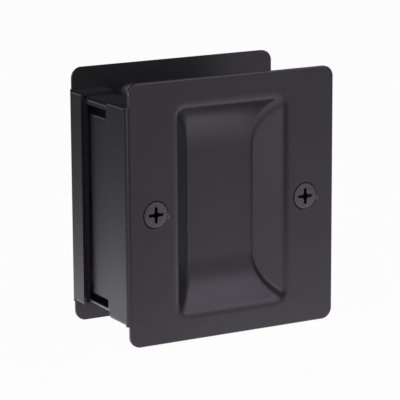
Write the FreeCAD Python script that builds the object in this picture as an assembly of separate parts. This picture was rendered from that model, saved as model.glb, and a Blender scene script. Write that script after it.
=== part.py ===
import FreeCAD, Part
import math
import os

os.makedirs("parts", exist_ok=True)

# Pocket door pull for a notched sliding door, in millimetres.
# X runs along the plates with the door's edge at -X, Y runs through the door
# with the near plate at -Y, and Z is up. The origin is the middle of the pull.

# Plates
PLATE_W = 69.85
PLATE_H = 78.0
PLATE_T = 1.0
PLATE_CORNER_R = 3.3
PLATE_RIM = 0.25
EDGE_STEP = 0.7
DOOR_MIN = 34.925

# Finger scoops
SCOOP_W = 37.0
SCOOP_H = 62.4
SCOOP_DEPTH = 7.5
SCOOP_END_ANGLE = 48.0
SCOOP_END_FLAT = 1.4
SCOOP_CREASE_R = 1.6
SCOOP_CORNER_R = 4.0
SCOOP_LIP_R = 3.6

# Edge flanges of the two plates
FLANGE_H = 65.0
FRONT_FLANGE = 12.0
REAR_FLANGE = 8.0
EAR_LEN = 11.0
FLANGE_BEND_R = 1.3
EAR_BEND_R = 1.15
EAR_SLIT = 0.6

# Inner case
CASE_T = 0.9
CASE_CLEAR = 0.1
CASE_FRONT_GAP = 0.5
CASE_REAR_GAP = 0.6
CASE_BEND_R = 1.9
CASE_EAR_BEND_R = 1.3
CASE_FOOT = 12.0
CASE_FOOT_H = 54.0
WINDOW_W = 13.0
WINDOW_H = 59.6
WINDOW_DROP = 0.4
WINDOW_CORNER_R = 0.5
WINDOW_REAR = 9.0

# Edge pull
PULL_H = 55.7
PULL_DROP = 0.95
PULL_T = 0.9
PULL_SIDE_GAP = 0.3
PULL_SIDE_D = 2.3
PULL_BEND_R = 1.1
PULL_CORNER_R = 0.5
PIVOT_Z = 9.0
PIVOT_IN = 3.6
LUG_R = 2.5
LUG_T = 0.9
LUG_GAP = 0.4
STOP_Z = -19.0
STOP_H = 5.0
STOP_REACH = 1.6
STOP_GAP = 0.05

# Pivot pin and its clip
PIN_D = 2.4
PIN_FIT = 0.06
PIN_SEAT = 0.03
PIN_HEAD_D = 4.2
PIN_HEAD_T = 0.8
PIN_TAIL = 1.6
CLIP_D = 5.0
CLIP_T = 0.5
CLIP_GAP = 0.1
CLIP_SLIT = 0.3

# Machine screws and threaded posts
SCREW_PITCH = 50.8
SCREW_HEAD_D = 7.9
SCREW_SINK_D = 8.7
SCREW_ANGLE = 82.0
SCREW_SHANK_D = 4.17
SCREW_LEN = 25.4
SCREW_TIP = 0.6
HOLE_D = 4.8
SINK_DEPTH = 2.9
HEAD_SEAT = 0.03
HEAD_LAND = 0.25
CROSS_W = 4.5
CROSS_SLOT = 1.0
CROSS_DEPTH = 2.2
POST_D = 7.0
POST_GAP = 0.6
POST_FLOOR = 2.5
THREAD_FIT = 0.08
FOOT_HOLE_GAP = 0.3

# Places that follow from the sizes above
EDGE_X = -PLATE_W / 2
FACE_Y = -DOOR_MIN / 2 - PLATE_T
INNER_Y = DOOR_MIN / 2
CASE_X = EDGE_X + PLATE_T + CASE_CLEAR
CASE_H = FLANGE_H - 2 * (PLATE_T + CASE_CLEAR)
CASE_Y0 = -DOOR_MIN / 2 + CASE_FRONT_GAP
WINDOW_Y1 = INNER_Y + PLATE_T - WINDOW_REAR
WINDOW_Y0 = WINDOW_Y1 - WINDOW_W
PULL_X = CASE_X + CASE_T
PULL_Y0 = WINDOW_Y0 + PULL_SIDE_GAP
PULL_Y1 = WINDOW_Y1 - PULL_SIDE_GAP
PIVOT_X = PULL_X + PIVOT_IN
SCREW_X = SCREW_PITCH / 2
HALF_ANGLE = math.radians(SCREW_ANGLE / 2)


def vec(x, y, z):
    return FreeCAD.Vector(x, y, z)


def box(x0, x1, y0, y1, z0, z1):
    return Part.makeBox(x1 - x0, y1 - y0, z1 - z0, vec(x0, y0, z0))


def cylinder_y(x, z, y0, y1, radius):
    return Part.makeCylinder(radius, y1 - y0, vec(x, y0, z), vec(0, 1, 0))


def revolve_y(points, x, z, y):
    """A closed outline of (radius, depth) points turned about an axis along Y."""
    corners = [vec(r, d, 0) for r, d in points]
    face = Part.Face(Part.makePolygon(corners + [corners[0]]))
    solid = face.revolve(vec(0, 0, 0), vec(0, 1, 0), 360)
    solid.translate(vec(x, y, z))
    return solid


def edges_where(shape, test):
    return [edge for edge in shape.Edges if test(edge)]


def runs_along(edge, axis):
    a = edge.Vertexes[0].Point
    b = edge.Vertexes[-1].Point
    span = [abs(a.x - b.x), abs(a.y - b.y), abs(a.z - b.z)]
    others = [span[i] for i in range(3) if i != axis]
    return span[axis] > 1e-3 and max(others) < 1e-6


def rounded_box(x0, x1, y0, y1, z0, z1, rounds):
    """A box with fillets on the edges that pass the tests in rounds, each with its radius."""
    solid = box(x0, x1, y0, y1, z0, z1)
    for test, radius in rounds:
        solid = solid.makeFillet(radius, edges_where(solid, test))
    return solid


def mirrored(shape):
    return shape.mirror(vec(0, 0, 0), vec(0, 1, 0))


def blank():
    """The flat plate with its round corners and a broken rim on the outer face."""
    slab = box(EDGE_X + EDGE_STEP, -EDGE_X, FACE_Y, FACE_Y + PLATE_T, -PLATE_H / 2, PLATE_H / 2)
    slab = slab.makeFillet(PLATE_CORNER_R, edges_where(slab, lambda e: runs_along(e, 1)))
    rim = edges_where(slab, lambda e: abs(e.BoundBox.YMin - FACE_Y) < 1e-6 and e.BoundBox.YLength < 1e-6)
    return slab.makeChamfer(PLATE_RIM, rim)


def scoop_form(grow):
    """The scoop's hollow, or with grow the outside of its pressed metal.

    The side walls slope at 45 degrees. The floor is flat in the middle and
    rises to both ends along arcs that run out straight to the plate. The
    form runs on in front of the plate, to be trimmed there.
    """
    front = SCOOP_DEPTH
    half_w = SCOOP_W / 2 + grow * math.sqrt(2)
    floor = SCOOP_DEPTH + grow
    slope = math.radians(SCOOP_END_ANGLE)
    bend = (SCOOP_DEPTH - SCOOP_END_FLAT) / (1 - math.cos(slope))
    centre_z = SCOOP_H / 2 - SCOOP_END_FLAT / math.tan(slope) - bend * math.sin(slope)
    centre_y = SCOOP_DEPTH - bend
    radius = bend + grow
    end_z = centre_z + radius * math.sin(slope)
    end_y = centre_y + radius * math.cos(slope)
    mid_z = centre_z + radius * math.sin(slope / 2)
    mid_y = centre_y + radius * math.cos(slope / 2)
    top_z = end_z + (end_y + front) / math.tan(slope)

    def point(y, z):
        return vec(0, FACE_Y + y, z)

    edges = [
        Part.LineSegment(point(-front, -top_z), point(end_y, -end_z)).toShape(),
        Part.Arc(point(end_y, -end_z), point(mid_y, -mid_z), point(floor, -centre_z)).toShape(),
        Part.LineSegment(point(floor, -centre_z), point(floor, centre_z)).toShape(),
        Part.Arc(point(floor, centre_z), point(mid_y, mid_z), point(end_y, end_z)).toShape(),
        Part.LineSegment(point(end_y, end_z), point(-front, top_z)).toShape(),
        Part.LineSegment(point(-front, top_z), point(-front, -top_z)).toShape(),
    ]
    side = Part.Face(Part.Wire(edges))
    side.translate(vec(-PLATE_W, 0, 0))
    trough = side.extrude(vec(2 * PLATE_W, 0, 0))
    outline = [
        vec(-half_w - front, FACE_Y - front, -PLATE_H),
        vec(-half_w + floor, FACE_Y + floor, -PLATE_H),
        vec(half_w - floor, FACE_Y + floor, -PLATE_H),
        vec(half_w + front, FACE_Y - front, -PLATE_H),
    ]
    wedge = Part.Face(Part.makePolygon(outline + [outline[0]])).extrude(vec(0, 0, 2 * PLATE_H))
    return round_seams(trough.common(wedge).Solids[0], SCOOP_CREASE_R + grow, SCOOP_CORNER_R + grow)


def round_seams(form, crease, corner):
    """Rounds the side walls' seams, tightly along the floor and widely in the corners.

    The radius grows along the seam's curved stretch, of which the upper half
    has one on each side. The lower half is its mirror image.
    """
    half = form.common(box(-PLATE_W, PLATE_W, -PLATE_W, PLATE_W, 0, PLATE_H)).Solids[0]
    for side in (-1, 1):
        seam = edges_where(half, lambda e: isinstance(e.Curve, Part.Ellipse) and side * e.BoundBox.Center.x > 0)[0]
        rising = seam.firstVertex(True).Point.z < seam.lastVertex(True).Point.z
        start, end = (crease, corner) if rising else (corner, crease)
        half = half.makeFillet(start, end, [seam])
    return half.fuse(half.mirror(vec(0, 0, 0), vec(0, 0, 1))).removeSplitter().Solids[0]


def lip_edges(shape, y):
    """The scoop's mouth at a depth: the edges there that lie inside the plate's outline."""
    def test(edge):
        b = edge.BoundBox
        flat = abs(b.YMin - y) < 1e-4 and abs(b.YMax - y) < 1e-4
        across = b.XMin > EDGE_X + EDGE_STEP + 1e-3 and b.XMax < -EDGE_X - 1e-3
        return flat and across and max(abs(b.ZMin), abs(b.ZMax)) < PLATE_H / 2 - 1e-3
    return edges_where(shape, test)


def pressed_plate():
    """The plate with its scoop pressed in, at the front of the pull."""
    back = FACE_Y + PLATE_T
    boss = scoop_form(PLATE_T).common(box(EDGE_X, -EDGE_X, back - PLATE_T / 2, INNER_Y, -PLATE_H / 2, PLATE_H / 2))
    body = blank().fuse(boss).removeSplitter().Solids[0]
    body = body.makeFillet(SCOOP_LIP_R - PLATE_T, lip_edges(body, back))
    air = box(-PLATE_W, PLATE_W, FACE_Y - SCOOP_DEPTH, FACE_Y, -PLATE_H, PLATE_H)
    hollow = air.fuse(scoop_form(0)).removeSplitter().Solids[0]
    hollow = hollow.makeFillet(SCOOP_LIP_R, lip_edges(hollow, FACE_Y))
    return body.cut(hollow)


def flange_shell(depth):
    """The flange bent back from the plate along the door's edge, with an ear at each end."""
    half = FLANGE_H / 2
    y1 = FACE_Y + depth
    x1 = EDGE_X + EAR_LEN

    def long_bend(x, y):
        return lambda e: runs_along(e, 2) and abs(e.BoundBox.XMin - x) < 1e-4 and abs(e.BoundBox.YMin - y) < 1e-4

    def ear_bends(x):
        return lambda e: runs_along(e, 1) and abs(e.BoundBox.XMin - x) < 1e-4

    x2 = EDGE_X + PLATE_T
    y2 = FACE_Y + PLATE_T
    y3 = y2 + EAR_SLIT
    bend = rounded_box(EDGE_X, EDGE_X + FLANGE_BEND_R + 1, FACE_Y, y3, -half, half,
                       [(long_bend(EDGE_X, FACE_Y), FLANGE_BEND_R)])
    bend = bend.cut(rounded_box(x2, EDGE_X + FLANGE_BEND_R + 2, y2, y3 + 1, -half - 1, half + 1,
                                [(long_bend(x2, y2), FLANGE_BEND_R - PLATE_T)]))
    ears = rounded_box(EDGE_X, x1, y3, y1, -half, half, [(ear_bends(EDGE_X), EAR_BEND_R)])
    ears = ears.cut(rounded_box(x2, x1 + 1, y3 - 1, y1 + 1, -half + PLATE_T, half - PLATE_T,
                                [(ear_bends(x2), EAR_BEND_R - PLATE_T)]))
    return bend.fuse(ears)


def flanged_plate(depth):
    half = FLANGE_H / 2
    plate = pressed_plate()
    room = box(EDGE_X - 1, EDGE_X + FLANGE_BEND_R, FACE_Y - 1, FACE_Y + PLATE_T + 1, -half, half)
    return plate.cut(room).fuse(flange_shell(depth)).removeSplitter()


def sink_radius(y, grow):
    """Radius of the pressed countersink at a depth, grown outwards for its metal."""
    return SCREW_SINK_D / 2 - y * math.tan(HALF_ANGLE) + grow / math.cos(HALF_ANGLE)


def dimpled(plate):
    """Adds the two pressed countersinks with their holes."""
    for side in (-1, 1):
        x = side * SCREW_X
        outside = [(0, 0), (sink_radius(0, PLATE_T), 0), (sink_radius(SINK_DEPTH, PLATE_T), SINK_DEPTH), (0, SINK_DEPTH)]
        plate = plate.fuse(revolve_y(outside, x, 0, FACE_Y))
        seat_y = (SCREW_SINK_D - HOLE_D) / 2 / math.tan(HALF_ANGLE)
        inside = [(0, -1), (sink_radius(-1, 0), -1), (HOLE_D / 2, seat_y), (HOLE_D / 2, SINK_DEPTH + 1), (0, SINK_DEPTH + 1)]
        plate = plate.cut(revolve_y(inside, x, 0, FACE_Y))
    return plate.removeSplitter()


def front_plate():
    return dimpled(flanged_plate(FRONT_FLANGE))


def rear_plate():
    return mirrored(flanged_plate(REAR_FLANGE))


def lug(x0, y0, thickness):
    """A round-ended lug in the XZ plane that carries the pivot pin."""
    web = box(x0, PIVOT_X, y0, y0 + thickness, PIVOT_Z - LUG_R, PIVOT_Z + LUG_R)
    return web.fuse(cylinder_y(PIVOT_X, PIVOT_Z, y0, y0 + thickness, LUG_R))


def pull_stop(x0, y0, inward):
    """A tab bent in beside the window, with a lip behind the pull's side wall."""
    z0 = STOP_Z - STOP_H / 2
    z1 = STOP_Z + STOP_H / 2
    x1 = PULL_X + PULL_SIDE_D + STOP_GAP
    web = box(x0, x1 + LUG_T, y0, y0 + LUG_T, z0, z1)
    reach = LUG_T + LUG_GAP + STOP_REACH
    y1, y2 = sorted((y0 + (0 if inward > 0 else LUG_T), y0 + (reach if inward > 0 else LUG_T - reach)))
    return web.fuse(box(x1, x1 + LUG_T, y1, y2, z0, z1))


def inner_case():
    """The case that joins the plates at the door's edge and slides in the front flange."""
    half = CASE_H / 2
    x1 = EDGE_X + EAR_LEN
    y1 = INNER_Y

    def long_bend(x, y):
        return lambda e: runs_along(e, 2) and abs(e.BoundBox.XMin - x) < 1e-4 and abs(e.BoundBox.YMax - y) < 1e-4

    def ear_bends(x):
        return lambda e: runs_along(e, 1) and abs(e.BoundBox.XMin - x) < 1e-4

    outer = rounded_box(CASE_X, x1 + CASE_FOOT, CASE_Y0, y1, -half, half, [(ear_bends(CASE_X), CASE_EAR_BEND_R)])
    outer = outer.makeFillet(CASE_BEND_R, edges_where(outer, long_bend(CASE_X, y1)))
    x2 = CASE_X + CASE_T
    y2 = y1 - CASE_T
    inner = rounded_box(x2, x1 + CASE_FOOT + 1, CASE_Y0 - 1, y2, -half + CASE_T, half - CASE_T,
                        [(ear_bends(x2), CASE_EAR_BEND_R - CASE_T)])
    inner = inner.makeFillet(CASE_BEND_R - CASE_T, edges_where(inner, long_bend(x2, y2)))
    case = outer.cut(inner)
    foot_x = CASE_X + CASE_FOOT
    case = case.cut(box(foot_x, x1 + CASE_FOOT + 1, y2 - 1, y1 + 1, -half - 1, half + 1))
    case = case.cut(box(x1, x1 + CASE_FOOT + 1, CASE_Y0 - 1, y2, -half - 1, half + 1))
    for side in (-1, 1):
        z0, z1 = sorted((side * CASE_FOOT_H / 2, side * (half + 1)))
        case = case.cut(box(CASE_X - 1, x1 + CASE_FOOT + 1, y2 - CASE_REAR_GAP, y1 + 1, z0, z1))
    case = case.cut(cylinder_y(-SCREW_X, 0, y2 - 1, y1 + 1, POST_D / 2 + FOOT_HOLE_GAP))
    window = rounded_box(CASE_X - 1, x2 + 0.5, WINDOW_Y0, WINDOW_Y1, -WINDOW_H / 2 - WINDOW_DROP,
                         WINDOW_H / 2 - WINDOW_DROP, [(lambda e: runs_along(e, 0), WINDOW_CORNER_R)])
    case = case.cut(window)
    for y0, inward in ((PULL_Y0 - LUG_GAP - LUG_T, 1), (PULL_Y1 + LUG_GAP, -1)):
        case = case.fuse(lug(x2 - CASE_T / 2, y0, LUG_T))
        case = case.fuse(pull_stop(x2 - CASE_T / 2, y0, inward))
    case = case.cut(cylinder_y(PIVOT_X, PIVOT_Z, PULL_Y0 - 3, PULL_Y1 + 3, PIN_D / 2 + PIN_SEAT))
    return case.removeSplitter()


def edge_pull():
    """The flat pull in the case's window, a shallow channel with two lugs for the pin."""
    z0 = -PULL_H / 2 - PULL_DROP
    z1 = PULL_H / 2 - PULL_DROP
    x1 = PULL_X + PULL_SIDE_D

    def long_bends(x):
        return lambda e: runs_along(e, 2) and abs(e.BoundBox.XMin - x) < 1e-4

    outer = rounded_box(PULL_X, x1, PULL_Y0, PULL_Y1, z0, z1,
                        [(lambda e: runs_along(e, 0), PULL_CORNER_R), (long_bends(PULL_X), PULL_BEND_R)])
    x2 = PULL_X + PULL_T
    inner = rounded_box(x2, x1 + 1, PULL_Y0 + PULL_T, PULL_Y1 - PULL_T, z0 - 1, z1 + 1,
                        [(long_bends(x2), PULL_BEND_R - PULL_T)])
    pull = outer.cut(inner)
    for y0 in (PULL_Y0, PULL_Y1 - LUG_T):
        pull = pull.fuse(lug(x1 - PULL_T, y0, LUG_T))
    pull = pull.cut(cylinder_y(PIVOT_X, PIVOT_Z, PULL_Y0 - 1, PULL_Y1 + 1, PIN_D / 2 + PIN_FIT))
    return pull.removeSplitter()


def pivot_pin():
    """The headed pin across the case's lugs."""
    head_y = PULL_Y0 - LUG_GAP - LUG_T
    end_y = PULL_Y1 + LUG_GAP + LUG_T + PIN_TAIL
    pin = cylinder_y(PIVOT_X, PIVOT_Z, head_y, end_y, PIN_D / 2)
    pin = pin.makeChamfer(PIN_D / 8, edges_where(pin, lambda e: abs(e.BoundBox.YMin - end_y) < 1e-4))
    head = cylinder_y(PIVOT_X, PIVOT_Z, head_y - PIN_HEAD_T, head_y, PIN_HEAD_D / 2)
    head = head.makeChamfer(PIN_HEAD_T / 3, edges_where(head, lambda e: abs(e.BoundBox.YMax - head_y + PIN_HEAD_T) < 1e-4))
    return pin.fuse(head).removeSplitter()


def pin_clip():
    """The push-on ring that keeps the pin in, with three slits that bite on it."""
    y0 = PULL_Y1 + LUG_GAP + LUG_T + CLIP_GAP
    ring = cylinder_y(PIVOT_X, PIVOT_Z, y0, y0 + CLIP_T, CLIP_D / 2)
    ring = ring.cut(cylinder_y(PIVOT_X, PIVOT_Z, y0 - 1, y0 + CLIP_T + 1, PIN_D / 2 + PIN_SEAT))
    slit = box(PIVOT_X - CLIP_SLIT / 2, PIVOT_X + CLIP_SLIT / 2, y0 - 1, y0 + CLIP_T + 1,
               PIVOT_Z, PIVOT_Z + (PIN_D + CLIP_D) / 4)
    for turn in range(3):
        ring = ring.cut(slit.rotated(vec(PIVOT_X, 0, PIVOT_Z), vec(0, 1, 0), 120 * turn))
    return ring


def cross_recess(depth_y, x):
    """The cross socket, two tapered slots on a tapered core."""
    tip = CROSS_W * 0.45
    cutter = revolve_y([(0, -1), (CROSS_W * 0.36, -1), (CROSS_SLOT / 3, CROSS_DEPTH), (0, CROSS_DEPTH)], x, 0, depth_y)
    slot = Part.Face(Part.makePolygon([
        vec(-CROSS_W / 2 - 0.3, -1, 0), vec(CROSS_W / 2 + 0.3, -1, 0),
        vec(tip / 2, CROSS_DEPTH, 0), vec(-tip / 2, CROSS_DEPTH, 0), vec(-CROSS_W / 2 - 0.3, -1, 0)]))
    slot.translate(vec(x, depth_y, -CROSS_SLOT / 2))
    slot = slot.extrude(vec(0, 0, CROSS_SLOT))
    cutter = cutter.fuse(slot)
    return cutter.fuse(slot.rotated(vec(x, 0, 0), vec(0, 1, 0), 90))


def machine_screw(side):
    """A flat-head screw seated in the countersink of the front plate."""
    x = side * SCREW_X
    tan = math.tan(HALF_ANGLE)
    top = (SCREW_SINK_D - SCREW_HEAD_D) / 2 / tan
    shift = HEAD_SEAT / math.sin(HALF_ANGLE)
    neck = top + (SCREW_HEAD_D - SCREW_SHANK_D) / 2 / tan
    shank = SCREW_SHANK_D / 2
    cone_y = top - shift
    head_y = cone_y - HEAD_LAND
    outline = [
        (0, head_y), (SCREW_HEAD_D / 2 - HEAD_LAND / 2, head_y), (SCREW_HEAD_D / 2, head_y + HEAD_LAND / 2),
        (SCREW_HEAD_D / 2, cone_y), (shank, neck - shift),
        (shank, SCREW_LEN - SCREW_TIP), (shank - SCREW_TIP, SCREW_LEN), (0, SCREW_LEN),
    ]
    screw = revolve_y(outline, x, 0, FACE_Y)
    return screw.cut(cross_recess(FACE_Y + head_y, x)).removeSplitter()


def threaded_post(side):
    """A threaded post that stands on the rear plate and takes a screw."""
    x = side * SCREW_X
    y0 = FACE_Y + SINK_DEPTH + POST_GAP
    post = cylinder_y(x, 0, y0, INNER_Y, POST_D / 2)
    bore = SCREW_SHANK_D / 2 + THREAD_FIT
    post = post.cut(cylinder_y(x, 0, y0 - 1, INNER_Y - POST_FLOOR, bore))
    mouth = edges_where(post, lambda e: abs(e.BoundBox.YMin - y0) < 1e-4 and abs(e.BoundBox.YMax - y0) < 1e-4)
    return post.makeChamfer(SCREW_TIP / 2, mouth)


def main():
    nodes = {
        "front_plate": front_plate(),
        "rear_plate": rear_plate(),
        "inner_case": inner_case(),
        "edge_pull": edge_pull(),
        "pivot_pin": pivot_pin(),
        "pin_clip": pin_clip(),
        "machine_screw_left": machine_screw(-1),
        "machine_screw_right": machine_screw(1),
        "threaded_post_left": threaded_post(-1),
        "threaded_post_right": threaded_post(1),
    }
    for name, shape in nodes.items():
        shape.exportStep("parts/" + name + ".step")
        print(name, shape.ShapeType, len(shape.Solids), "solids", shape.isValid(), round(shape.Volume, 1), "mm3")


main()
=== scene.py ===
"""Looks for a pocket door pull: satin black pressed plates, threaded screws and plated inner hardware."""

import math

import bpy
from mathutils import Matrix, Vector


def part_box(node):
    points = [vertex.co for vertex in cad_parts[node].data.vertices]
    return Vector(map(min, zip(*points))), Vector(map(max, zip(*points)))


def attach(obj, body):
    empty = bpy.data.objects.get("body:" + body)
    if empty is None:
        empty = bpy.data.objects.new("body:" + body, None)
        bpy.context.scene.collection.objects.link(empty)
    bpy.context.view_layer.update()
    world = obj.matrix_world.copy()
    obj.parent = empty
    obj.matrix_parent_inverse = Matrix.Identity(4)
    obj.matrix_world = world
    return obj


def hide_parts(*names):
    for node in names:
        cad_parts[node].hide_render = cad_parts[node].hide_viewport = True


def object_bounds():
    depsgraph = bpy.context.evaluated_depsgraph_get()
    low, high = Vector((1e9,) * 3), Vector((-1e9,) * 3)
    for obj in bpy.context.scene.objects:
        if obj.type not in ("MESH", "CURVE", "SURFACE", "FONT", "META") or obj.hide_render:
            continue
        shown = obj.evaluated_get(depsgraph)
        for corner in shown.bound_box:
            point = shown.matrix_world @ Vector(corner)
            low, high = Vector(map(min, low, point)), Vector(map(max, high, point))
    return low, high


bl_info = {
    "name": "Pocket Door Pull",
    "version": (1, 0, 0),
    "blender": (4, 5, 0),
    "location": "3D View > Sidebar > Door Pull",
    "description": "Finishes a pocket door pull and sets it on a studio floor",
    "category": "Object",
}

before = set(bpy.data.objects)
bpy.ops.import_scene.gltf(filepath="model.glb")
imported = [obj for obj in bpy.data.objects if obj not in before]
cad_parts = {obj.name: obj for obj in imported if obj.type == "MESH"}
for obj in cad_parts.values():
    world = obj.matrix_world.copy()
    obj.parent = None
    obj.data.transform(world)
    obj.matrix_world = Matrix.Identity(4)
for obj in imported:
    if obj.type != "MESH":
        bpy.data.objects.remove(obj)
CAD_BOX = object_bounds()
BLACK_NODES = ("front_plate", "rear_plate", "inner_case", "edge_pull")
STEEL_NODES = ("threaded_post_left", "threaded_post_right", "pivot_pin", "pin_clip")

# Lengths are in metres, but for the camera's sensor.

# Paint: the clouds' width by the peel's, and the levels of grain between which specks rise
CLOUD_BY_PEEL = 9
PAINT_SPECKS = ((0.42, 0.0), (0.72, 1.0))

# Screw coating: the patches' width by the specks', the levels of grain between which specks rise, and
# the depths behind the plate's face over which the specks fade and the shank begins; between these depths
# lies painted shade, on the head's sunk flank and in its cross recess
PATCH_BY_SPECK = 4
SCREW_SPECKS = ((0.44, 0.0), (0.6, 1.0))
SPECK_FADE = (0.0002, 0.00035)
SHANK_FADE = (0.0024, 0.003)

# Plated steel: the scale of its turning marks, its blotches' width, and their colour's share of its own
TURNING_SCALE = 1100.0
BLOTCH_SIZE = 0.0016
BLOTCH_SHADE = 0.72

# Screw head: its sides, the depth to which its upright rim reaches, the rim's gap to the solid's, its
# cone's angle from the axis, and the bevel's outer ring by the bevel's width, in depth and outwards
HEAD_SIDES = 64
RIM_DEPTH = 0.00025
RIM_GAP = 0.00007
CONE_ANGLE = math.radians(41)
BEVEL_DEPTH = 0.35
BEVEL_REACH = 0.7

# Angle between faces above which an edge is rounded, and above which it is shaded sharp
ROUND_ANGLE = math.radians(38)
SMOOTH_ANGLE = math.radians(32)

# Distance within which points of a screw's rings are merged
MERGE_GAP = 1e-7

# Screw shank: the length from its tip in which its radius is read, the length over which it narrows to
# the thread's root, the tip's length, and the tip's end by the root's radius
SHANK_READ = 0.006
ROOT_RUN = 0.0006
TIP_LENGTH = 0.0005
TIP_SHARE = 0.7

# Screw thread: its gaps to the cone and to the tip, how deep its foot sits in the root, half its foot
# by its pitch, and its steps in one turn
THREAD_START = 0.0004
THREAD_STOP = 0.0006
THREAD_SINK = 0.00004
THREAD_HALF = 0.46
THREAD_STEPS = 24

# Cross recess: how far its blocks stand out of the head, how much longer they are there by that height,
# the scale of their inner end, and the core's sides, its outer and inner radius by the slot's width, and
# its length and middle by the recess's depth
TOOL_OVER = 0.0006
TOOL_FLARE = 0.55
SLOT_TIP = (0.4, 1.0, 0.7)
CORE_SIDES = 24
CORE_MOUTH = 1.15
CORE_TIP = 0.55
CORE_LENGTH = 1.3
CORE_PLACE = 0.35

# Floor: its width, and how far it lies below the pull
FLOOR_SIZE = 6.0
FLOOR_DROP = 0.00002

# Floor glow: x less y where its side turns into its front, x where its right brightens, then the dim
# strip ahead: the share of x in the distance along its middle, less than nought, the shares off that
# middle over which it ends, and the distances over which it begins
FRONT_SPAN = (-0.16, -0.02)
RIGHT_SPAN = (-0.02, 0.14)
STRIP_TURN = 0.15
STRIP_SPAN = (0.08, 0.45)
STRIP_START = (0.07, 0.17)

# Each lamp's place, its size and the setting that holds its power
LAMPS = {
    "lamp_left": ((-0.95, -0.55, 0.12), (0.6, 0.3), "left_watts"),
    "lamp_right": ((0.6, -0.95, 0.24), (0.9, 0.5), "right_watts"),
    "lamp_above": ((0.42, -0.5, 0.85), (1.2, 1.2), "above_watts"),
    "lamp_corner": ((-0.6, -0.35, 0.75), (0.5, 0.5), "corner_watts"),
    "lamp_rim": ((-0.55, 0.93, 0.2), (0.5, 0.14), "rim_watts"),
}

# Camera: its sensor's width in millimetres, and the nearest and farthest distance that it shows
SENSOR_WIDTH = 36.0
CLIP_NEAR, CLIP_FAR = 0.01, 20.0


class FinishSettings(bpy.types.PropertyGroup):
    """Colours and grain of the pull's finishes."""

    paint_color: bpy.props.FloatVectorProperty(
        name="Paint", description="Satin black of the plates, case and pull",
        subtype="COLOR", size=3, min=0, max=1, default=(0.0105, 0.0098, 0.0115))
    paint_high: bpy.props.FloatVectorProperty(
        name="Paint grain", description="Colour of the paint's lighter grains",
        subtype="COLOR", size=3, min=0, max=1, default=(0.017, 0.016, 0.0185))
    paint_sheen: bpy.props.FloatVectorProperty(
        name="Paint sheen", description="Faint violet cast of the paint's gloss",
        subtype="COLOR", size=3, min=0, max=1, default=(0.91, 0.86, 1.0))
    paint_roughness: bpy.props.FloatProperty(
        name="Paint roughness", description="Roughness of the paint between its grains",
        min=0, max=1, default=0.28)
    grain_size: bpy.props.FloatProperty(
        name="Grain size", description="Width of one grain in the paint",
        subtype="DISTANCE", unit="LENGTH", min=0.00005, max=0.002, default=0.00022)
    peel_size: bpy.props.FloatProperty(
        name="Peel size", description="Width of the soft waves in the paint",
        subtype="DISTANCE", unit="LENGTH", min=0.0005, max=0.01, default=0.0024)
    screw_color: bpy.props.FloatVectorProperty(
        name="Screw black", description="Dark coating of the screws",
        subtype="COLOR", size=3, min=0, max=1, default=(0.012, 0.0112, 0.013))
    screw_speck: bpy.props.FloatVectorProperty(
        name="Screw speck", description="Light specks in the coating of the screws' heads",
        subtype="COLOR", size=3, min=0, max=1, default=(0.13, 0.123, 0.138))
    speck_size: bpy.props.FloatProperty(
        name="Speck size", description="Width of one speck on the screws",
        subtype="DISTANCE", unit="LENGTH", min=0.00005, max=0.002, default=0.0003)
    steel_color: bpy.props.FloatVectorProperty(
        name="Plated steel", description="Colour of the posts, pin and clip",
        subtype="COLOR", size=3, min=0, max=1, default=(0.55, 0.55, 0.56))


class ScrewSettings(bpy.types.PropertyGroup):
    """Sizes of the machine screws that the solids leave to the looks."""

    thread_pitch: bpy.props.FloatProperty(
        name="Thread pitch", description="Distance from one thread crest to the next",
        subtype="DISTANCE", unit="LENGTH", min=0.0003, max=0.003, default=0.000794)
    thread_depth: bpy.props.FloatProperty(
        name="Thread depth", description="Height of the thread's crest above its root",
        subtype="DISTANCE", unit="LENGTH", min=0.0001, max=0.001, default=0.00043)
    cross_width: bpy.props.FloatProperty(
        name="Cross width", description="Length of each slot of the cross recess at the head's face",
        subtype="DISTANCE", unit="LENGTH", min=0.001, max=0.006, default=0.0053)
    cross_slot: bpy.props.FloatProperty(
        name="Cross slot", description="Width of each slot of the cross recess",
        subtype="DISTANCE", unit="LENGTH", min=0.0003, max=0.002, default=0.001)
    cross_depth: bpy.props.FloatProperty(
        name="Cross depth", description="Depth of the cross recess",
        subtype="DISTANCE", unit="LENGTH", min=0.0005, max=0.003, default=0.0021)
    head_bevel: bpy.props.FloatProperty(
        name="Head bevel", description="Width of the bevel round the head's face",
        subtype="DISTANCE", unit="LENGTH", min=0, max=0.001, default=0.00022)
    edge_round: bpy.props.FloatProperty(
        name="Edge round", description="Radius left on the head's edges by its coating",
        subtype="DISTANCE", unit="LENGTH", min=0, max=0.0005, default=0.00006)


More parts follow.
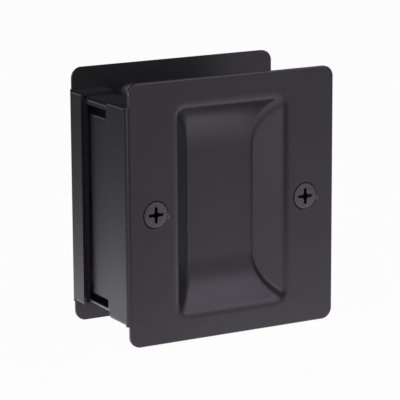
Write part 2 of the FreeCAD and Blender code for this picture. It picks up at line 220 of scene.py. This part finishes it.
class StudioSettings(bpy.types.PropertyGroup):
    """The floor, lamps and camera."""

    floor_color: bpy.props.FloatVectorProperty(
        name="Floor", description="Colour of the floor and backdrop",
        subtype="COLOR", size=3, min=0, max=1, default=(0.82, 0.82, 0.82))
    floor_white: bpy.props.FloatProperty(
        name="Floor white", description="Share of plain white in the floor as the camera sees it",
        min=0, max=1, default=0.96)
    world_level: bpy.props.FloatProperty(
        name="World level", description="Brightness of the plain surroundings", min=0, max=2, default=0.04)
    left_watts: bpy.props.FloatProperty(
        name="Left lamp", description="Power of the lamp on the left", min=0, max=100, default=3.5)
    right_watts: bpy.props.FloatProperty(
        name="Right lamp", description="Power of the lamp on the right", min=0, max=100, default=1.2)
    above_watts: bpy.props.FloatProperty(
        name="Lamp above", description="Power of the broad lamp above", min=0, max=100, default=8.5)
    corner_watts: bpy.props.FloatProperty(
        name="Corner lamp", description="Power of the lamp above on the left", min=0, max=100, default=1.5)
    rim_watts: bpy.props.FloatProperty(
        name="Rim lamp", description="Power of the low lamp behind on the left", min=0, max=100, default=0.5)
    side_near: bpy.props.FloatProperty(
        name="Side near", description="Brightness of the floor's reflection beside the pull's edge",
        min=0, max=5, default=2.6)
    side_far: bpy.props.FloatProperty(
        name="Side far", description="Brightness of the same, away from the pull", min=0, max=5, default=0.17)
    side_reach: bpy.props.FloatProperty(
        name="Side reach", description="Distance over which the floor beside the edge darkens",
        subtype="DISTANCE", unit="LENGTH", min=0.02, max=2, default=0.09)
    front_near: bpy.props.FloatProperty(
        name="Front near", description="Brightness of the floor's reflection in front of the pull",
        min=0, max=5, default=1.6)
    front_far: bpy.props.FloatProperty(
        name="Front far", description="Brightness of the same, away from the pull", min=0, max=5, default=0.5)
    front_reach: bpy.props.FloatProperty(
        name="Front reach", description="Distance over which the floor in front darkens",
        subtype="DISTANCE", unit="LENGTH", min=0.02, max=2, default=0.15)
    right_rise: bpy.props.FloatProperty(
        name="Right rise", description="How much brighter the floor in front is on its right",
        min=0, max=5, default=1.35)
    front_dip: bpy.props.FloatProperty(
        name="Front dip", description="Share taken from the floor's reflection straight in front",
        min=0, max=1, default=0.7)
    camera_place: bpy.props.FloatVectorProperty(
        name="Camera place", description="Where the camera stands",
        subtype="TRANSLATION", unit="LENGTH", size=3, default=(-0.32849, -0.58433, 0.14677))
    camera_target: bpy.props.FloatVectorProperty(
        name="Camera target", description="Point that the camera looks at",
        subtype="TRANSLATION", unit="LENGTH", size=3, default=(-0.00082, -0.00046, -0.00163))
    camera_roll: bpy.props.FloatProperty(
        name="Camera roll", description="Turn of the camera about its view line",
        subtype="ANGLE", unit="ROTATION", min=-0.5, max=0.5, default=-0.00553)
    camera_lens: bpy.props.FloatProperty(
        name="Camera lens", description="Focal length in millimetres on a 36 mm sensor",
        min=20, max=400, default=204.71)


class Value:
    """A shader socket that takes part in Python arithmetic."""

    def __init__(self, shader, socket):
        self.shader = shader
        self.socket = socket

    def _maths(self, operation, first, second):
        return self.shader.node("ShaderNodeMath", {"operation": operation}, {0: first, 1: second})

    def __add__(self, other):
        return self._maths("ADD", self, other)

    __radd__ = __add__

    def __sub__(self, other):
        return self._maths("SUBTRACT", self, other)

    def __rsub__(self, other):
        return self._maths("SUBTRACT", other, self)

    def __mul__(self, other):
        return self._maths("MULTIPLY", self, other)

    __rmul__ = __mul__

    def __truediv__(self, other):
        return self._maths("DIVIDE", self, other)

    def __rtruediv__(self, other):
        return self._maths("DIVIDE", other, self)


class Shader:
    """The nodes of one material or world, all made by the node method."""

    def __init__(self, owner):
        self.owner = owner
        owner.use_nodes = True
        self.tree = owner.node_tree
        self.tree.nodes.clear()

    def node(self, kind, settings=None, values=None, output=0):
        made = self.tree.nodes.new(kind)
        for key, setting in (settings or {}).items():
            if key == "stops":
                ramp = made.color_ramp
                while len(ramp.elements) < len(setting):
                    ramp.elements.new(1.0)
                for element, (position, shade) in zip(ramp.elements, setting):
                    element.position = position
                    element.color = (shade, shade, shade, 1.0)
            else:
                setattr(made, key, setting)
        for key, value in (values or {}).items():
            socket = made.inputs[key]
            if isinstance(value, Value):
                self.tree.links.new(value.socket, socket)
            elif hasattr(value, "__len__") and socket.type == "RGBA":
                socket.default_value = (*tuple(value)[:3], 1.0)
            else:
                socket.default_value = value
        return Value(self, made.outputs[output]) if made.outputs else made

    def place(self):
        return self.node("ShaderNodeTexCoord", output="Object")

    def along(self, place, axis):
        return self.node("ShaderNodeSeparateXYZ", None, {0: place}, output=axis)

    def noise(self, place, size, detail=2.0, roughness=0.5):
        """Noise whose waves are about size metres wide."""
        return self.node("ShaderNodeTexNoise", None,
                         {"Vector": place, "Scale": 1.0 / size, "Detail": detail, "Roughness": roughness})

    def ramp(self, value, stops):
        return self.node("ShaderNodeValToRGB", {"stops": stops}, {"Fac": value})

    def fade(self, value, span, first=0.0, last=1.0, smooth=True):
        """Goes from first to last while the value crosses the span."""
        return self.node("ShaderNodeMapRange", {"interpolation_type": "SMOOTHSTEP" if smooth else "LINEAR"},
                         {"Value": value, "From Min": span[0], "From Max": span[1],
                          "To Min": first, "To Max": last})

    def bump(self, height, strength, distance):
        return self.node("ShaderNodeBump", None,
                         {"Strength": strength, "Distance": distance, "Height": height})

    def blend(self, factor, first, second):
        return self.node("ShaderNodeMix", {"data_type": "RGBA"}, {0: factor, 6: first, 7: second}, output=2)

    def surface(self, **sockets):
        """The closing shader, with its sockets named as in Blender but for the spaces."""
        values = {name.replace("_", " "): value for name, value in sockets.items()}
        shader = self.node("ShaderNodeBsdfPrincipled", None, values)
        self.node("ShaderNodeOutputMaterial", None, {"Surface": shader})
        return self.owner


def satin_paint(settings):
    """Black powder paint: soft waves, fine grain and faint clouds in its gloss."""
    paint = Shader(bpy.data.materials.new("satin_black_paint"))
    place = paint.place()
    grain = paint.noise(place, settings.grain_size, detail=3.0, roughness=0.65)
    peel = paint.noise(place, settings.peel_size, detail=1.0)
    cloud = paint.noise(place, settings.peel_size * CLOUD_BY_PEEL)
    specks = paint.ramp(grain, PAINT_SPECKS)
    return paint.surface(
        Base_Color=paint.blend(specks * 0.55 + cloud * 0.3, settings.paint_color, settings.paint_high),
        Roughness=settings.paint_roughness + cloud * 0.05 + grain * 0.06,
        Specular_Tint=settings.paint_sheen,
        Normal=paint.bump(peel * 0.75 + grain * 0.25, strength=0.35, distance=0.00002))


def screw_coating(settings):
    """Dark coating: light specks on the head's face, darkest on its sunk flank and in its cross recess as
    painted shade, plain on the shank.
    """
    coating = Shader(bpy.data.materials.new("speckled_screw_black"))
    place = coating.place()
    grain = coating.noise(place, settings.speck_size, detail=3.0, roughness=0.7)
    patches = coating.noise(place, settings.speck_size * PATCH_BY_SPECK)
    specks = coating.ramp(grain, SCREW_SPECKS)
    depth = coating.along(place, "Y") - CAD_BOX[0].y
    # painted shade: a fraction of a millimetre behind the head's face the specks fade out, so the sunk flank
    # and the cross recess stay plain dark
    unshaded_face = coating.fade(depth, SPECK_FADE, 1.0, 0.0, smooth=False)
    shank = coating.fade(depth, SHANK_FADE, smooth=False)
    sunk = 1 - unshaded_face - shank
    speckled = (specks * 0.8 + patches * 0.2) * unshaded_face
    return coating.surface(
        Base_Color=coating.blend(speckled, settings.screw_color, settings.screw_speck),
        Roughness=0.28 + grain * 0.16,
        # painted shade: the sunk flank and the cross recess turn fully metallic, which with the dark base
        # colour darkens them further
        Metallic=0.3 + sunk * 0.7,
        Specular_Tint=settings.paint_sheen,
        Normal=coating.bump(grain + patches * 0.5, strength=0.8, distance=0.00004))


def plated_steel(settings):
    """Dull plated steel with fine turning marks and blotches."""
    steel = Shader(bpy.data.materials.new("dull_plated_steel"))
    place = steel.place()
    turned = steel.node("ShaderNodeTexWave", {"wave_type": "BANDS", "bands_direction": "Y"},
                        {"Vector": place, "Scale": TURNING_SCALE, "Distortion": 1.2, "Detail": 2.0})
    blotch = steel.noise(place, BLOTCH_SIZE, detail=3.0)
    dull = tuple(channel * BLOTCH_SHADE for channel in settings.steel_color)
    return steel.surface(
        Base_Color=steel.blend(blotch, settings.steel_color, dull),
        Roughness=0.3 + blotch * 0.16,
        Metallic=0.95,
        Normal=steel.bump(turned + blotch * 0.6, strength=0.2, distance=0.00001))


def give(piece, material):
    piece.data.materials.clear()
    piece.data.materials.append(material)


def deselect():
    for piece in bpy.context.selected_objects:
        piece.select_set(False)


def start_edit():
    bpy.ops.object.mode_set(mode="EDIT")
    bpy.ops.mesh.select_mode(type="FACE")


def select_faces(piece, test):
    """Selects the faces whose normal passes the test, in edit mode."""
    bpy.ops.object.mode_set(mode="OBJECT")
    for vertex in piece.data.vertices:
        vertex.select = False
    for edge in piece.data.edges:
        edge.select = False
    for face in piece.data.polygons:
        face.select = bool(test(face.normal))
    start_edit()


def apply_modifier(piece, kind, **settings):
    modifier = piece.modifiers.new(kind.lower(), kind)
    for key, value in settings.items():
        setattr(modifier, key, value)
    bpy.context.view_layer.objects.active = piece
    bpy.ops.object.modifier_apply(modifier=modifier.name)


def settle(piece):
    """Puts the object at the origin with its place in its mesh."""
    deselect()
    piece.select_set(True)
    bpy.context.view_layer.objects.active = piece
    bpy.ops.object.transform_apply(location=True, rotation=True, scale=True)


class ScrewPlace:
    """Where one screw sits and how wide it is, read from its plain solid."""

    def __init__(self, node, settings):
        low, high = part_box(node)
        self.x, self.z = (low.x + high.x) / 2, (low.z + high.z) / 2
        self.face_y, self.tip_y = low.y, high.y
        self.head = (high.x - low.x) / 2
        self.shank = max(math.hypot(v.co.x - self.x, v.co.z - self.z)
                         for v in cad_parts[node].data.vertices if v.co.y > self.tip_y - SHANK_READ)
        self.root = self.shank - settings.thread_depth
        self.cone_end = self.face_y + RIM_DEPTH + (self.head - self.shank) / math.tan(CONE_ANGLE)


def cross_tools(settings, at):
    """The tools that cut a cross recess: two tapered blocks at right angles and a tapered core."""
    tools = []
    for turn in (0.0, math.pi / 2):
        deselect()
        bpy.ops.mesh.primitive_cube_add(size=1.0, location=(0, 0, 0))
        block = bpy.context.object
        block.scale = (settings.cross_width + TOOL_OVER * TOOL_FLARE,
                       settings.cross_depth + TOOL_OVER, settings.cross_slot)
        block.location = (0, (settings.cross_depth - TOOL_OVER) / 2, 0)
        settle(block)
        select_faces(block, lambda normal: normal.y > 0.9)
        bpy.ops.transform.resize(value=SLOT_TIP)
        bpy.ops.object.mode_set(mode="OBJECT")
        block.rotation_euler = (0, turn, 0)
        settle(block)
        tools.append(block)
    deselect()
    bpy.ops.mesh.primitive_cone_add(
        vertices=CORE_SIDES, radius1=settings.cross_slot * CORE_MOUTH, radius2=settings.cross_slot * CORE_TIP,
        depth=settings.cross_depth * CORE_LENGTH, location=(0, settings.cross_depth * CORE_PLACE, 0),
        rotation=(-math.pi / 2, 0, 0))
    core = bpy.context.object
    settle(core)
    tools.append(core)
    for tool in tools:
        tool.location = (at.x, at.face_y, at.z)
        settle(tool)
    return tools


def make_blank(name, settings, at):
    """The screw without its thread: rings drawn out from the head's face to the tip."""
    deselect()
    bevel = settings.head_bevel
    radius = at.head - bevel
    bpy.ops.mesh.primitive_circle_add(
        vertices=HEAD_SIDES, radius=radius, fill_type="NGON",
        location=(at.x, at.face_y, at.z), rotation=(math.pi / 2, 0, 0))
    blank = bpy.context.object
    blank.name = name
    settle(blank)
    rings = [(at.face_y + bevel * BEVEL_DEPTH, radius + bevel * BEVEL_REACH),
             (at.face_y + RIM_DEPTH, at.head - RIM_GAP),
             (at.cone_end, at.shank),
             (at.cone_end + ROOT_RUN, at.root),
             (at.tip_y - TIP_LENGTH, at.root),
             (at.tip_y, at.root * TIP_SHARE)]
    start_edit()
    bpy.ops.mesh.select_all(action="SELECT")
    bpy.ops.mesh.duplicate()
    last = at.face_y
    for y, wide in rings:
        bpy.ops.mesh.extrude_region_move(TRANSFORM_OT_translate={"value": (0, y - last, 0)})
        grow = wide / radius
        bpy.ops.transform.resize(value=(grow, 1.0, grow), center_override=(at.x, y, at.z))
        last, radius = y, wide
    bpy.ops.mesh.select_all(action="SELECT")
    bpy.ops.mesh.remove_doubles(threshold=MERGE_GAP)
    bpy.ops.mesh.normals_make_consistent(inside=False)
    bpy.ops.object.mode_set(mode="OBJECT")

    apply_modifier(blank, "BEVEL", width=settings.edge_round, segments=2, limit_method="ANGLE",
                   angle_limit=ROUND_ANGLE, use_clamp_overlap=True)
    for tool in cross_tools(settings, at):
        apply_modifier(blank, "BOOLEAN", operation="DIFFERENCE", object=tool, solver="EXACT")
        bpy.data.objects.remove(tool)
    return blank


def make_thread(name, settings, at):
    """One triangle wound along the shank, closed at both ends."""
    start = at.cone_end + THREAD_START
    turns = int((at.tip_y - THREAD_STOP - start) / settings.thread_pitch)
    deselect()
    bpy.ops.mesh.primitive_circle_add(vertices=3, fill_type="NOTHING", location=(0, 0, 0))
    thread = bpy.context.object
    thread.name = name
    base = at.root - THREAD_SINK
    half = settings.thread_pitch * THREAD_HALF
    for vertex, (out, along) in zip(thread.data.vertices, [(at.shank, 0.0), (base, half), (base, -half)]):
        vertex.co = (out, 0.0, along)
    apply_modifier(thread, "SCREW", axis="Z", angle=2 * math.pi, screw_offset=settings.thread_pitch,
                   iterations=turns, steps=THREAD_STEPS, render_steps=THREAD_STEPS, use_merge_vertices=False)
    thread.select_set(True)
    start_edit()
    bpy.ops.mesh.select_all(action="SELECT")
    bpy.ops.mesh.fill_holes(sides=4)
    bpy.ops.mesh.select_all(action="SELECT")
    bpy.ops.mesh.normals_make_consistent(inside=False)
    bpy.ops.object.mode_set(mode="OBJECT")
    thread.rotation_euler = (-math.pi / 2, 0, 0)
    thread.location = (at.x, start + half, at.z)
    settle(thread)
    return thread


def make_screw(name, node, body, settings, material):
    """A flat-head machine screw with its cross recess and its thread, in place of the plain solid."""
    at = ScrewPlace(node, settings)
    screw = make_blank(name, settings, at)
    thread = make_thread(name + "_thread", settings, at)
    deselect()
    thread.select_set(True)
    screw.select_set(True)
    bpy.context.view_layer.objects.active = screw
    bpy.ops.object.join()
    bpy.ops.object.shade_smooth_by_angle(angle=SMOOTH_ANGLE)
    give(screw, material)
    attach(screw, body)
    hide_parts(node)


class DOORPULL_OT_black_metal(bpy.types.Operator):
    """Paint the plates, the case and the edge pull satin black"""

    bl_idname = "doorpull.black_metal"
    bl_label = "Painted Metal"

    def execute(self, context):
        material = satin_paint(context.scene.door_finish)
        for node in BLACK_NODES:
            give(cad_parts[node], material)
        return {"FINISHED"}


class DOORPULL_OT_plated_hardware(bpy.types.Operator):
    """Finish the posts, the pivot pin and its clip in plated steel"""

    bl_idname = "doorpull.plated_hardware"
    bl_label = "Plated Hardware"

    def execute(self, context):
        material = plated_steel(context.scene.door_finish)
        for node in STEEL_NODES:
            give(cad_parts[node], material)
        return {"FINISHED"}


class DOORPULL_OT_machine_screws(bpy.types.Operator):
    """Model the machine screws with cross recess and thread"""

    bl_idname = "doorpull.machine_screws"
    bl_label = "Machine Screws"

    def execute(self, context):
        material = screw_coating(context.scene.door_finish)
        for side in ("left", "right"):
            make_screw("threaded_screw_" + side, "machine_screw_" + side, "front_half",
                       context.scene.door_screws, material)
        return {"FINISHED"}


def floor_material(settings):
    """A pale floor: white to the camera, and in reflections bright near the pull, most on the left."""
    floor = Shader(bpy.data.materials.new("pale_floor"))
    seen = floor.node("ShaderNodeLightPath", output="Is Camera Ray")
    through = floor.node("ShaderNodeLightPath", output="Is Transmission Ray")
    glossy = floor.node("ShaderNodeLightPath", output="Is Glossy Ray")
    place = floor.place()
    away = floor.node("ShaderNodeVectorMath", {"operation": "LENGTH"}, {0: place}, output="Value")
    x = floor.along(place, "X")
    y = floor.along(place, "Y")

    def glow(near, far, reach):
        fading = floor.node("ShaderNodeMath", {"operation": "EXPONENT"}, {0: away / -reach})
        return fading * (near - far) + far

    front = floor.fade(x - y, FRONT_SPAN)
    beside = glow(settings.side_near, settings.side_far, settings.side_reach)
    rise = floor.fade(x, RIGHT_SPAN, 1.0, settings.right_rise, smooth=False)
    off_strip = floor.node("ShaderNodeMath", {"operation": "ABSOLUTE"}, {0: x / away + STRIP_TURN})
    strip = floor.fade(off_strip, STRIP_SPAN, settings.front_dip, 0.0) * floor.fade(away, STRIP_START)
    ahead = glow(settings.front_near, settings.front_far, settings.front_reach) * rise * (1 - strip)

    matt = floor.node("ShaderNodeBsdfDiffuse", None, {"Color": settings.floor_color})
    white = floor.node("ShaderNodeEmission", None, {"Color": (1, 1, 1), "Strength": 1.0})
    gleam = floor.node("ShaderNodeEmission", None,
                       {"Color": (1, 1, 1), "Strength": beside * (1 - front) + ahead * front})
    shown = floor.node("ShaderNodeMixShader", None,
                       {0: (seen + through) * settings.floor_white, 1: matt, 2: white})
    mixed = floor.node("ShaderNodeMixShader", None, {0: glossy, 1: shown, 2: gleam})
    floor.node("ShaderNodeOutputMaterial", None, {"Surface": mixed})
    return floor.owner


def surroundings(settings):
    """Plain surroundings at a low level, white to the camera."""
    world = Shader(bpy.data.worlds.new("studio_world"))
    seen = world.node("ShaderNodeLightPath", output="Is Camera Ray")
    plain = world.node("ShaderNodeBackground", None, {"Color": (1, 1, 1), "Strength": settings.world_level})
    white = world.node("ShaderNodeBackground", None, {"Color": (1, 1, 1), "Strength": 1.0})
    mixed = world.node("ShaderNodeMixShader", None, {0: seen, 1: plain, 2: white})
    world.node("ShaderNodeOutputWorld", None, {"Surface": mixed})
    return world.owner


def add_lamp(name, place, size, watts):
    """A lamp with a rectangular face that looks at the pull."""
    lamp = bpy.data.lights.new(name, "AREA")
    lamp.shape = "RECTANGLE"
    lamp.size, lamp.size_y = size
    lamp.energy = watts
    made = bpy.data.objects.new(name, lamp)
    bpy.context.scene.collection.objects.link(made)
    made.location = place
    made.rotation_mode = "QUATERNION"
    made.rotation_quaternion = (-Vector(place)).to_track_quat("-Z", "Y")


def add_camera(settings):
    data = bpy.data.cameras.new("studio_camera")
    data.sensor_width = SENSOR_WIDTH
    data.lens = settings.camera_lens
    data.clip_start, data.clip_end = CLIP_NEAR, CLIP_FAR
    camera = bpy.data.objects.new("studio_camera", data)
    bpy.context.scene.collection.objects.link(camera)
    place = Vector(settings.camera_place)
    aim = (Vector(settings.camera_target) - place).to_track_quat("-Z", "Y")
    camera.matrix_world = (Matrix.Translation(place) @ aim.to_matrix().to_4x4()
                           @ Matrix.Rotation(settings.camera_roll, 4, "Z"))
    bpy.context.scene.camera = camera


class DOORPULL_OT_studio(bpy.types.Operator):
    """Set the floor, the lamps, the surroundings and the camera"""

    bl_idname = "doorpull.studio"
    bl_label = "Studio"

    def execute(self, context):
        settings = context.scene.door_studio
        deselect()
        bpy.ops.mesh.primitive_plane_add(size=FLOOR_SIZE, location=(0, 0, CAD_BOX[0].z - FLOOR_DROP))
        floor = context.object
        floor.name = "studio_floor"
        give(floor, floor_material(settings))
        for name, (place, size, watts) in LAMPS.items():
            add_lamp(name, place, size, getattr(settings, watts))
        context.scene.world = surroundings(settings)
        add_camera(settings)
        context.scene.view_settings.view_transform = "Standard"
        return {"FINISHED"}


class DOORPULL_PT_panel(bpy.types.Panel):
    """The door pull's pieces in the sidebar"""

    bl_label = "Door Pull"
    bl_idname = "DOORPULL_PT_panel"
    bl_space_type = "VIEW_3D"
    bl_region_type = "UI"
    bl_category = "Door Pull"

    def draw(self, context):
        for operator in OPERATORS:
            self.layout.operator(operator.bl_idname)
        for group in (context.scene.door_finish, context.scene.door_screws, context.scene.door_studio):
            box = self.layout.box()
            for key in group.bl_rna.properties.keys():
                if key not in ("rna_type", "name"):
                    box.prop(group, key)


OPERATORS = (DOORPULL_OT_black_metal, DOORPULL_OT_plated_hardware, DOORPULL_OT_machine_screws,
             DOORPULL_OT_studio)
CLASSES = (FinishSettings, ScrewSettings, StudioSettings, *OPERATORS, DOORPULL_PT_panel)


def register():
    for cls in CLASSES:
        bpy.utils.register_class(cls)
    bpy.types.Scene.door_finish = bpy.props.PointerProperty(type=FinishSettings)
    bpy.types.Scene.door_screws = bpy.props.PointerProperty(type=ScrewSettings)
    bpy.types.Scene.door_studio = bpy.props.PointerProperty(type=StudioSettings)


def unregister():
    del bpy.types.Scene.door_studio
    del bpy.types.Scene.door_screws
    del bpy.types.Scene.door_finish
    for cls in reversed(CLASSES):
        bpy.utils.unregister_class(cls)


def main():
    register()
    bpy.ops.doorpull.black_metal()
    bpy.ops.doorpull.plated_hardware()
    bpy.ops.doorpull.machine_screws()
    bpy.ops.doorpull.studio()


if __name__ == "__main__":
    main()
